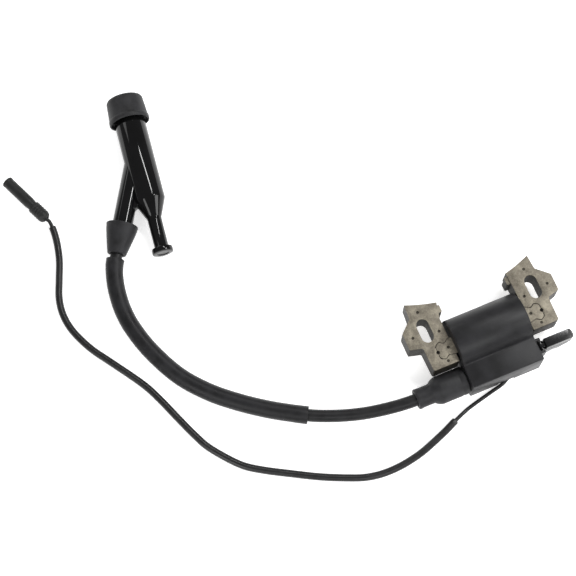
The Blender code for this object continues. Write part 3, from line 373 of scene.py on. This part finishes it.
def smoothRoute(route, spacingMm):
    # evenly spaced points on a smooth curve through the route, in metres
    points = [Vector(p) for p in route]
    fine = []
    for i in range(len(points) - 1):
        a, b = points[max(i - 1, 0)], points[i]
        c, d = points[i + 1], points[min(i + 2, len(points) - 1)]
        for k in range(curveSteps):
            t = k / curveSteps
            fine.append(0.5 * (2 * b + (c - a) * t + (2 * a - 5 * b + 4 * c - d) * t ** 2
                               + (3 * b - a - 3 * c + d) * t ** 3))
    fine.append(points[-1])
    lengths = [0.0]
    for a, b in zip(fine, fine[1:]):
        lengths.append(lengths[-1] + (b - a).length)
    count = round(lengths[-1] / (spacingMm * mm))
    even = []
    reached = 0
    for k in range(count + 1):
        target = lengths[-1] * k / count
        while reached < len(lengths) - 2 and lengths[reached + 1] < target:
            reached += 1
        share = (target - lengths[reached]) / (lengths[reached + 1] - lengths[reached])
        even.append(fine[reached].lerp(fine[reached + 1], share))
    return even, lengths[-1] / count


def cordCurve(name, points, radiusMm, material, swell=None, sides=8):
    curve = bpy.data.curves.new(name, "CURVE")
    curve.dimensions = "3D"
    curve.bevel_depth = radiusMm * mm
    curve.bevel_resolution = sides
    curve.use_fill_caps = True
    spline = curve.splines.new("POLY")
    spline.points.add(len(points) - 1)
    for i, point in enumerate(points):
        spline.points[i].co = (*point, 1)
        spline.points[i].radius = swell(i, len(points)) if swell else 1.0
    spline.use_smooth = True
    curve.materials.append(materials[material])
    piece = bpy.data.objects.new(name, curve)
    bpy.context.scene.collection.objects.link(piece)
    return piece


sleeveEdge = 0.15  # bevel on a sleeve's cut ends, in mm


def sleeveTube(name, points, radiusMm, wallMm, material, swell=None):
    # a tube with a real wall, open at both cut ends
    piece = cordCurve(name, points, radiusMm, material, swell)
    piece.data.use_fill_caps = False
    pickOnly(piece)
    bpy.ops.object.convert(target="MESH")
    piece = bpy.context.object
    bpy.ops.object.mode_set(mode="EDIT")
    bpy.ops.mesh.select_all(action="SELECT")
    bpy.ops.mesh.remove_doubles(threshold=weldMm * mm)
    bpy.ops.mesh.normals_make_consistent(inside=False)
    bpy.ops.object.mode_set(mode="OBJECT")
    applyModifier(piece, "SOLIDIFY", thickness=wallMm * mm, offset=-1, use_rim=True)
    bevelEdges(piece, sleeveEdge, segments=2, angle=50)
    finishPiece(piece, name, material)
    return piece


leadShape = {"radius": 3.5, "sleeveRadius": 5.1, "sleeveWall": 1.2, "sleeveSpan": (86, 244.2), "step": 3.0,
             "length": 0.2827, "swollenPoints": 3, "startSwell": 0.02, "endSwell": 0.06, "middle": 0.97}
leadRoute = [
    (-0.0250, -0.0200, 0.0084), (-0.0380, -0.0200, 0.0084), (-0.0515, -0.0200, 0.0084),
    (-0.0605, -0.0192, 0.0075), (-0.0700, -0.0176, 0.0063), (-0.0800, -0.0154, 0.0055),
    (-0.0900, -0.0124, 0.0052), (-0.0995, -0.0088, 0.0052), (-0.1086, -0.0046, 0.0052),
    (-0.1185, 0.0012, 0.0052), (-0.1290, 0.0079, 0.0052), (-0.1423, 0.0179, 0.0052),
    (-0.1553, 0.0298, 0.0052), (-0.1670, 0.0448, 0.0052), (-0.1760, 0.0640, 0.0052),
    (-0.1806, 0.0805, 0.0053), (-0.1818, 0.0916, 0.0060), (-0.1812, 0.1016, 0.0070),
    (-0.1794, 0.1106, 0.0079), (-0.1765, 0.1185, 0.0084), (-0.1733, 0.1236, 0.0086),
    (-0.1640, 0.13844, 0.00927), (-0.1542, 0.1541, 0.00998),
]
wireShape = {"radius": 1.1, "sleeveRadius": 2.05, "sleeveWall": 0.6, "sleeveSpan": (51, 369.5), "step": 2.0,
             "length": 0.381}
wireRoute = [
    (0.0120, -0.0200, 0.0052), (0.0090, -0.0227, 0.0040), (0.0055, -0.0252, 0.0024),
    (0.0015, -0.0274, 0.00135), (-0.0028, -0.0293, 0.00125), (-0.0080, -0.0304, 0.00125),
    (-0.0130, -0.0315, 0.00125), (-0.0245, -0.0342, 0.0015), (-0.0310, -0.0364, 0.0019),
    (-0.0370, -0.0388, 0.00215), (-0.0436, -0.0416, 0.00215), (-0.0572, -0.0464, 0.00215),
    (-0.0655, -0.0484, 0.00215), (-0.0745, -0.0496, 0.00215), (-0.0839, -0.0496, 0.00215),
    (-0.0923, -0.0482, 0.00215), (-0.1003, -0.0454, 0.00215), (-0.1155, -0.0384, 0.00215),
    (-0.1303, -0.0302, 0.00215), (-0.1449, -0.0216, 0.00215), (-0.1548, -0.0140, 0.00215),
    (-0.1662, 0.0004, 0.00215), (-0.1713, 0.0107, 0.00215), (-0.1760, 0.0225, 0.00215),
    (-0.1817, 0.0374, 0.00215), (-0.1873, 0.0492, 0.00215), (-0.1994, 0.0682, 0.00215),
    (-0.2051, 0.0769, 0.00215), (-0.2095, 0.0856, 0.00215), (-0.2128, 0.0950, 0.00215),
    (-0.2139, 0.1046, 0.00215), (-0.2125, 0.1142, 0.00215), (-0.2086, 0.1246, 0.00215),
    (-0.2048, 0.1344, 0.00215), (-0.2026, 0.1430, 0.00215), (-0.2014, 0.1510, 0.0025),
    (-0.2014, 0.1584, 0.0034), (-0.2026, 0.1612, 0.00385), (-0.2049, 0.1667, 0.0039),
]


def spanOf(points, spacing, span):
    # the points between two distances in mm along a cord
    return [p for i, p in enumerate(points) if span[0] * mm <= i * spacing <= span[1] * mm]


def makeLead():
    points, spacing = smoothRoute(leadRoute, leadShape["step"])
    lead = cordCurve("plugLead", points, leadShape["radius"], "lead")
    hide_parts("ht_lead")
    covered = spanOf(points, spacing, leadShape["sleeveSpan"])

    def flare(i, count):
        # the cut ends of the sleeve stand a little wide, the far one more
        start = max(0.0, 1 - i / leadShape["swollenPoints"]) * leadShape["startSwell"]
        end = max(0.0, 1 - (count - 1 - i) / leadShape["swollenPoints"]) * leadShape["endSwell"]
        return leadShape["middle"] + start + end

    sleeve = sleeveTube("leadSleeve", covered, leadShape["sleeveRadius"], leadShape["sleeveWall"], "sleeve",
                        flare)
    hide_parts("ht_sleeve")
    return lead, sleeve


def makeStopWire():
    points, spacing = smoothRoute(wireRoute, wireShape["step"])
    wire = cordCurve("stopWire", points, wireShape["radius"], "pvc", sides=6)
    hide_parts("kill_wire")
    covered = spanOf(points, spacing, wireShape["sleeveSpan"])
    sleeve = sleeveTube("stopWireSleeve", covered, wireShape["sleeveRadius"], wireShape["sleeveWall"], "pvc")
    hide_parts("kill_wire_sleeve")
    return wire, sleeve


plugLead, leadSleeve = makeLead()
stopWire, stopWireSleeve = makeStopWire()
print("cords made")


coreShape = {"sheet": 0.52, "groove": 0.05, "lip": 0.07, "low": 8.0, "high": 21.0, "rim": 0.16,
             "seamReach": 0.01, "uprightBelow": 0.3}


def makeLaminations(nodeName, name):
    # the stack's sides are cut with one shallow groove at each sheet boundary
    piece = copyOfNode(nodeName)
    bevelEdges(piece, coreShape["rim"], segments=2, angle=60)
    bpy.ops.object.mode_set(mode="EDIT")
    count = round((coreShape["high"] - coreShape["low"]) / coreShape["sheet"])
    seams = [coreShape["low"] + coreShape["sheet"] * k for k in range(1, count)]
    for seam in seams:
        for offset in (-coreShape["lip"], 0, coreShape["lip"]):
            bpy.ops.mesh.select_all(action="SELECT")
            bpy.ops.mesh.bisect(plane_co=(0, 0, (seam + offset) * mm), plane_no=(0, 0, 1))
    bpy.ops.mesh.select_all(action="DESELECT")
    bpy.ops.object.mode_set(mode="OBJECT")
    for vertex in piece.data.vertices:
        height = vertex.co.z / mm
        onSeam = any(abs(height - seam) < coreShape["seamReach"] for seam in seams)
        vertex.select = onSeam and abs(vertex.normal.z) < coreShape["uprightBelow"]
    bpy.ops.object.mode_set(mode="EDIT")
    bpy.ops.transform.shrink_fatten(value=-coreShape["groove"] * mm)
    bpy.ops.object.mode_set(mode="OBJECT")
    finishPiece(piece, name, "steel", angle=25)
    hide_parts(nodeName)
    return piece


coreNames = {"core_pole_left": "poleLeftStack", "core_pole_right": "poleRightStack", "core_bar": "barStack"}
corePieces = [makeLaminations(nodeName, name) for nodeName, name in coreNames.items()]
print("core made")


def makeCase():
    piece = copyOfNode("coil_case")
    finishPiece(piece, "coilCase", "case", angle=32)
    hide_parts("coil_case")
    return piece


coilCase = makeCase()

coilBootShape = {"bore": 3.85, "collar": 8.0, "neck": 5.65, "length": 29.7, "steps": 72,
                 "origin": (-21.8, -20.0, 8.4)}


def makeCoilBoot():
    bore, collar, neck, end = (coilBootShape[key] for key in ("bore", "collar", "neck", "length"))
    profile = [(bore, 0), (collar - 0.6, 0), (collar, 0.6), (collar, 3.2), (collar - 0.15, 3.6),
               (collar - 0.15, 4.2), (collar, 4.6), (collar, 14.2), (collar + 0.05, 15.4),
               (collar - 0.1, 16.6), (7.3, 18.2), (6.6, 19.4), (5.9, 20.2), (neck, 21.2), (neck, 26.4),
               (neck + 0.1, 27.6), (neck + 0.2, end - 0.9), (neck + 0.05, end - 0.2), (neck - 0.35, end),
               (bore + 0.2, end), (bore, end - 0.5)]
    piece = turnedPiece(profile, coilBootShape["steps"], closed=True)
    placeAlong(piece, Vector(coilBootShape["origin"]) * mm, (-1, 0, 0))
    finishPiece(piece, "coilLeadBoot", "boot", angle=40)
    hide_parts("coil_lead_boot")
    return piece


coilLeadBoot = makeCoilBoot()
print("case made")


capShape = {"anchor": (-173.3, 123.6, 8.6), "heading": 58, "fork": 24, "arm": 63.4, "nose": 32.3,
            "barrelRadius": 9.0, "armRadius": 5.8, "stemRadius": 4.1, "knobRadius": 6.1, "stemEnd": 96.3,
            "webHalf": 3.6, "webEdge": 1.1, "socket": 6.3, "throat": 5.0, "stemHole": 3.2, "leadHole": 3.85,
            "screwHole": 1.65, "bootRadius": 11.8, "bootLength": 14.5, "bootLip": 6.0, "bootBore": 9.35,
            "bead": 1.6, "floorGap": 0.05}
forkAngle = math.radians(capShape["fork"])
alongArm = Vector((math.sin(forkAngle), math.cos(forkAngle), 0))
crossing = alongArm * capShape["arm"]
mouth = crossing + Vector((0, capShape["nose"], 0))
capTilt = math.asin((capShape["bootRadius"] + capShape["floorGap"] - capShape["anchor"][2])
                    / (mouth.y - capShape["bootLength"] + capShape["bead"]))
capTurn = math.radians(capShape["heading"] + capShape["fork"] - 90)
capPlace = (Matrix.Translation(Vector(capShape["anchor"]) * mm) @ Matrix.Rotation(capTurn, 4, "Z")
            @ Matrix.Rotation(capTilt, 4, "X"))


def capLathe(name, profile, origin, direction, steps):
    piece = turnedPiece(profile, steps)
    placeAlong(piece, Vector(origin) * mm, direction)
    piece.name = name
    return piece


def cutOrJoin(piece, tool, operation):
    applyModifier(piece, "BOOLEAN", operation=operation, solver="EXACT", object=tool)
    bpy.data.objects.remove(tool, do_unlink=True)


# the web between barrel and arm, seen from above and measured from where their axes cross
webOutline = [(-2, -14), (-12, -30), (-10.4, -35.2), (-9.3, -34.8), (-8.2, -34.0), (-6.9, -33.5),
              (-5.6, -33.7), (-4.7, -34.6), (-4.0, -36.2), (-2, -36.2)]


def makeCapWeb():
    half = capShape["webHalf"]
    bpy.ops.object.select_all(action="DESELECT")
    bpy.ops.mesh.primitive_circle_add(vertices=len(webOutline), radius=mm, fill_type="NGON")
    web = bpy.context.object
    for vertex, (x, y) in zip(web.data.vertices, webOutline):
        vertex.co = Vector((crossing.x + x, crossing.y + y, -half)) * mm
    bpy.ops.object.mode_set(mode="EDIT")
    bpy.ops.mesh.select_all(action="SELECT")
    bpy.ops.mesh.extrude_region_move(TRANSFORM_OT_translate={"value": (0, 0, 2 * half * mm)})
    bpy.ops.mesh.select_all(action="SELECT")
    bpy.ops.mesh.normals_make_consistent(inside=False)
    bpy.ops.object.mode_set(mode="OBJECT")
    bevelEdges(web, capShape["webEdge"], angle=60)
    return web


def makeCapBody():
    down = (0, -1, 0)
    wide, stem, knob, end = (capShape[key] for key in ("barrelRadius", "stemRadius", "knobRadius", "stemEnd"))
    barrel = [(wide - 0.7, 3.0), (wide - 0.25, 3.1), (wide, 3.6), (wide, 63.3), (wide - 0.07, 63.8),
              (wide - 0.4, 64.6), (stem + 0.65, 73.4), (stem + 0.25, 74.2), (stem + 0.05, 75.0), (stem, 76.0),
              (stem, end - 3.8), (stem + 0.2, end - 3.35), (knob - 0.5, end - 3.2), (knob - 0.15, end - 3.0),
              (knob, end - 2.6), (knob, end - 0.7), (knob - 0.15, end - 0.2), (knob - 0.5, end), (3.6, end),
              (3.3, end - 0.4), (1.0, end - 0.5)]
    body = capLathe("capBarrel", barrel, mouth, down, steps=96)
    armRadius = capShape["armRadius"]
    arm = [(armRadius, 6.0), (armRadius, capShape["arm"] - 8)]
    cutOrJoin(body, capLathe("capArm", arm, (0, 0, 0), alongArm, steps=72), "UNION")
    cutOrJoin(body, makeCapWeb(), "UNION")
    socket, throat, stemHole = (capShape[key] for key in ("socket", "throat", "stemHole"))
    bore = [(socket, -2), (socket, 34.0), (throat, 34.0), (throat, 43.5), (stemHole, 43.5), (stemHole, 72.0)]
    cutOrJoin(body, capLathe("capBore", bore, mouth, down, steps=64), "DIFFERENCE")
    leadHole, screwHole = capShape["leadHole"], capShape["screwHole"]
    armBore = [(leadHole, -2), (leadHole, 36.3), (screwHole, 36.3), (screwHole, 50.3)]
    cutOrJoin(body, capLathe("capArmBore", armBore, (0, 0, 0), alongArm, steps=48), "DIFFERENCE")
    body.data.transform(capPlace)
    finishPiece(body, "plugCapBody", "phenolic", angle=30)
    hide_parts("plug_cap_body")
    return body


def makeCapBoot():
    wide, end, lip, grip = (capShape[key] for key in ("bootRadius", "bootLength", "bootLip", "bootBore"))
    boot = [(lip, 0.5), (lip + 0.3, -0.1), (lip + 0.9, -0.5), (wide - 2.4, -0.6), (wide - 1.7, -0.4),
            (wide - 1.25, 0.2), (wide - 1.05, 0.6), (wide - 0.95, 1.8), (wide - 0.35, end - 3.4),
            (wide - 0.25, end - 2.9), (wide - 0.02, end - 2.5), (wide, end - 2.0), (wide, end - 0.7),
            (wide - 0.15, end - 0.25), (wide - 0.5, end), (wide - 0.9, end - 0.1), (wide - 1.1, end - 0.5),
            (wide - 1.2, end - 2.2), (grip + 0.55, end - 2.6), (grip, end - 2.6), (grip, 2.7), (lip, 2.7)]
    piece = turnedPiece(boot, steps=96, closed=True)
    placeAlong(piece, mouth * mm, (0, -1, 0))
    piece.data.transform(capPlace)
    finishPiece(piece, "capMouthBoot", "boot", angle=40)
    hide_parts("plug_cap_boot")
    return piece


coneShape = {"bore": 3.85, "seat": 6.1, "narrow": 5.5, "wide": 9.15, "length": 17.5, "seatFloor": 5.7}


def makeConeBoot():
    bore, seat, narrow, wide, end = (coneShape[key] for key in ("bore", "seat", "narrow", "wide", "length"))
    floor = coneShape["seatFloor"]
    cone = [(bore, 0.3), (bore + 0.25, 0), (narrow - 0.6, 0), (narrow - 0.15, 0.15), (narrow, 0.6),
            (5.8, 1.8), (7.4, 8.4), (8.4, 12.6), (8.85, 15.0), (wide - 0.15, end - 1.2), (wide, end - 0.8),
            (wide, end - 0.1), (wide - 0.1, end), (8.1, end), (7.2, end - 0.3), (6.6, end - 0.6),
            (seat, end - 0.8), (seat, floor), (bore, floor)]
    piece = turnedPiece(cone, steps=72, closed=True)
    placeAlong(piece, (0, 0, 0), alongArm)
    piece.data.transform(capPlace)
    finishPiece(piece, "capLeadBoot", "boot", angle=40)
    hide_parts("cap_lead_boot")
    return piece


capBody, capMouthBoot, capLeadBoot = makeCapBody(), makeCapBoot(), makeConeBoot()
print("plug cap made")


connectorShape = {"anchor": (-202.6, 161.2, 3.9), "heading": 113, "collar": 11.0, "socket": 22.0, "gap": 0.3,
                  "wireHole": 1.45, "bore": 2.6, "rib": 3.75, "ribs": 4, "firstRib": 3.2, "ribPitch": 1.7,
                  "boreDepth": 3.5, "tube": 3.3}


def makeConnector():
    heading = math.radians(connectorShape["heading"])
    along = Vector((math.cos(heading), math.sin(heading), 0))
    start = Vector(connectorShape["anchor"]) * mm
    length, far = connectorShape["collar"], connectorShape["socket"]
    hole, bore, rib, tube = (connectorShape[key] for key in ("wireHole", "bore", "rib", "tube"))
    boreFloor = length - connectorShape["boreDepth"]
    collar = [(hole, 0.3), (hole + 0.25, 0), (2.3, 0.1), (3.1, 0.8), (rib - 0.25, 1.6), (rib - 0.05, 2.6)]
    for number in range(connectorShape["ribs"]):
        at = connectorShape["firstRib"] + connectorShape["ribPitch"] * number
        collar += [(rib, at), (rib - 0.25, at + 0.25), (rib - 0.3, at + 0.5), (rib - 0.25, at + 0.75),
                   (rib, at + 1.0)]
    collar += [(rib, length - 0.6), (rib - 0.15, length - 0.2), (rib - 0.5, length), (bore, length),
               (bore, boreFloor), (hole, boreFloor)]
    piece = turnedPiece(collar, steps=56, closed=True)
    placeAlong(piece, start, along)
    finishPiece(piece, "connectorCollar", "vinyl", angle=40)
    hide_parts("connector_collar")
    socket = [(bore, 0), (bore + 0.2, 0), (tube - 0.35, 0.2), (tube - 0.35, 0.8), (tube - 0.25, 1.5),
              (tube - 0.1, 2.4), (tube, 3.4), (tube, 9.0), (tube - 0.04, 9.6), (tube, 10.2),
              (tube, far - 2.6), (tube - 0.08, far - 2.3), (tube - 0.08, far - 1.8), (tube + 0.1, far - 1.4),
              (tube + 0.15, far - 0.9), (tube + 0.1, far - 0.3), (tube - 0.2, far), (bore + 0.15, far),
              (bore, far - 0.4)]
    front = turnedPiece(socket, steps=56, closed=True)
    placeAlong(front, start + along * (length + connectorShape["gap"]) * mm, along)
    finishPiece(front, "connectorSocket", "vinyl", angle=40)
    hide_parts("connector_socket")
    return piece, front


connectorCollar, connectorSocket = makeConnector()
print("connector made")


clipShape = {"edge": 0.28, "edgeSteps": 3, "tip": 43.2, "middle": -20.1, "width": 5.4, "tipCorner": 2.2,
             "blank": 40}


def roundTip(piece):
    # the jaw's far end is rounded as seen from above, by what it shares with a blank of that outline
    blank = clipShape["blank"]
    bpy.ops.object.select_all(action="DESELECT")
    bpy.ops.mesh.primitive_cube_add(size=1, location=(0, 0, 0))
    outline = bpy.context.object
    outline.data.transform(Matrix.Diagonal((blank * mm, clipShape["width"] * mm, blank * mm, 1)))
    middle = (clipShape["tip"] - blank / 2) * mm
    outline.data.transform(Matrix.Translation((middle, clipShape["middle"] * mm, 0)))
    for edge in outline.data.edges:
        a, b = (outline.data.vertices[i].co for i in edge.vertices)
        edge.select = min(a.x, b.x) > (clipShape["tip"] - 1) * mm and abs(a.y - b.y) < mm
    bpy.ops.object.mode_set(mode="EDIT")
    bpy.ops.mesh.bevel(offset=clipShape["tipCorner"] * mm, segments=8)
    bpy.ops.object.mode_set(mode="OBJECT")
    cutOrJoin(piece, outline, "INTERSECT")


def makeClip(nodeName, name):
    piece = copyOfNode(nodeName)
    if nodeName == "clip_arm":
        roundTip(piece)
    bevelEdges(piece, clipShape["edge"], clipShape["edgeSteps"], angle=40)
    finishPiece(piece, name, "nylon")
    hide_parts(nodeName)
    return piece


clipBase, clipJaw = makeClip("clip_base", "clipLowerJaw"), makeClip("clip_arm", "clipUpperJaw")
print("clip made")

nodeFinishes = {
    "potting_compound": "epoxy", "primary_bobbin": "bobbin", "secondary_bobbin": "bobbin",
    "primary_winding": "copper", "secondary_winding": "copper", "trigger_board": "board",
    "power_transistor": "nylon", "timing_capacitor": "film", "pickup_resistor": "ceramic",
    "high_tension_terminal": "brass", "ground_strap": "tin", "cap_lead_screw": "brass",
    "cap_resistor": "ceramic", "cap_contact_spring": "tin", "cap_terminal_clip": "brass",
    "bullet_receptacle": "brass", "clip_pin": "tin",
}
for nodeName, finish in nodeFinishes.items():
    nodes[nodeName].data.materials.clear()
    nodes[nodeName].data.materials.append(materials[finish])

rides = {
    "coil": [(plugLead, "lead_rubber"), (leadSleeve, "sleeve_rubber"), (stopWire, "wire_pvc"),
             (stopWireSleeve, "wire_pvc"), (coilCase, "case_plastic"), (coilLeadBoot, "boot_rubber"),
             (connectorCollar, "wire_pvc"), (connectorSocket, "wire_pvc"), (clipBase, "black_nylon")]
            + [(piece, "core_steel") for piece in corePieces],
    "plug_cap": [(capBody, "phenolic"), (capMouthBoot, "boot_rubber"), (capLeadBoot, "boot_rubber")],
    "clip_jaw": [(clipJaw, "black_nylon")],
}
for body, members in rides.items():
    for piece, slotName in members:
        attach(piece, body)

stageShape = {"size": 6.0, "glowColour": "#ffffff", "glow": 0.55, "dark": "#f6f6f6", "light": "#fafafa",
              "fibreMm": 25, "roughness": 0.9, "specular": 0.1, "sky": 0.25}


def makeStage():
    bpy.ops.object.select_all(action="DESELECT")
    bpy.ops.mesh.primitive_plane_add(size=stageShape["size"], location=(0, 0, 0))
    floor = bpy.context.object
    floor.name = "studioFloor"
    made, tree, shader = newMaterial("backlitWhiteAcrylic")
    place = node(tree, "TexCoord").outputs["Object"]
    fibre = node(tree, "TexNoise", [("Vector", place)], Scale=1 / (stageShape["fibreMm"] * mm), Detail=2.0)
    tone = node(tree, "ValToRGB", [("Fac", fibre.outputs["Fac"])],
                stops=[(noiseLow, stageShape["dark"]), (noiseHigh, stageShape["light"])])
    tree.links.new(tone.outputs["Color"], shader.inputs["Base Color"])
    shader.inputs["Roughness"].default_value = stageShape["roughness"]
    shader.inputs["Specular IOR Level"].default_value = stageShape["specular"]
    # a light table: the sheet is lit from below as well, so shadows stay faint
    shader.inputs["Emission Color"].default_value = linear(stageShape["glowColour"])
    shader.inputs["Emission Strength"].default_value = stageShape["glow"]
    floor.data.materials.append(made)


lights = {
    # name: place, aim, direction of the long side, width, length, power
    "capStrip": ((0.352, 0.493, 1.016), (-0.269, 0.618, 0.243), (0.295, -0.877, -0.379), 0.07, 0.5, 4.5),
    "armStrip": ((0.51, 0.0, 0.76), (-0.165, 0.137, 0.012), (0.53, 0.847, 0), 0.1, 0.22, 2.8),
    "leftSoftbox": ((-0.9, -0.5, 0.6), (-0.12, 0.05, 0), (0, 0, 1), 0.6, 0.6, 5.5),
    "rightSoftbox": ((0.75, -0.45, 0.55), (-0.03, 0.0, 0), (0, 0, 1), 0.5, 0.5, 4.5),
    "frontSoftbox": ((-0.05, -0.85, 0.75), (-0.05, 0.0, 0), (0, 0, 1), 0.6, 0.4, 4.5),
    "backSoftbox": ((-0.35, 1.0, 0.5), (-0.1, 0.05, 0), (0, 0, 1), 0.8, 0.4, 2.5),
}


def makeLights():
    for name, (place, aim, along, width, length, power) in lights.items():
        lamp = bpy.data.lights.new(name, "AREA")
        lamp.shape = "RECTANGLE"
        lamp.size, lamp.size_y = width, length
        lamp.energy = power
        back = (Vector(place) - Vector(aim)).normalized()
        across = Vector(along).cross(back).normalized()
        holder = bpy.data.objects.new(name, lamp)
        holder.location = place
        holder.rotation_mode = "QUATERNION"
        holder.rotation_quaternion = Matrix((across, back.cross(across), back)).transposed().to_quaternion()
        bpy.context.scene.collection.objects.link(holder)
    world = bpy.data.worlds.new("studioWorld")
    bpy.context.scene.world = world
    world.use_nodes = True
    sky = world.node_tree.nodes["Background"]
    sky.inputs["Color"].default_value = (1, 1, 1, 1)
    sky.inputs["Strength"].default_value = stageShape["sky"]
    bpy.context.scene.view_settings.view_transform = "Standard"


makeStage()
makeLights()
print("stage and lights made")
